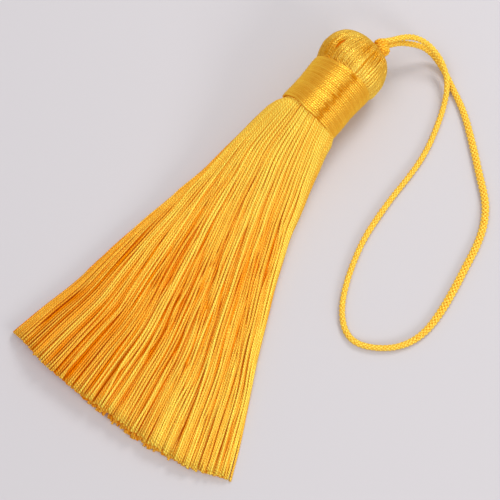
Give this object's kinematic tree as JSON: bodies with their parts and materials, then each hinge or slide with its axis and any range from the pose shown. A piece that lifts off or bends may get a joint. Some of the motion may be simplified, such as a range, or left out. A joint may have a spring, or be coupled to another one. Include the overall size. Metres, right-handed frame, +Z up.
{
  "type": "silk tassel",
  "caption": "Silk tassel lying on its side: a round thread head over a wound neck binding, a long fanned fringe, and a braided cord loop knotted at the crown.",
  "frame": {"origin": "centre of the base of the tassel as it lies, its hanging cord left out of the box", "axes": "+Y up the length of the tassel from the cut ends to the head, +Z up from the surface it lies on, the hanging cord lying on the +X side"},
  "size_m": [0.0757, 0.1092, 0.016],
  "materials": {
    "hank_silk": "lustrous untwisted silk threads, golden yellow",
    "wound_silk": "tightly wound silk thread, golden yellow, with a bright sheen across the turns",
    "braided_silk": "fine braided silk cord, golden yellow"
  },
  "bodies": {
    "root": {"head_and_skirt": "hank_silk", "neck_binding": "wound_silk", "cord_knot": "braided_silk", "hanging_cord": "braided_silk"}
  },
  "joints": []
}
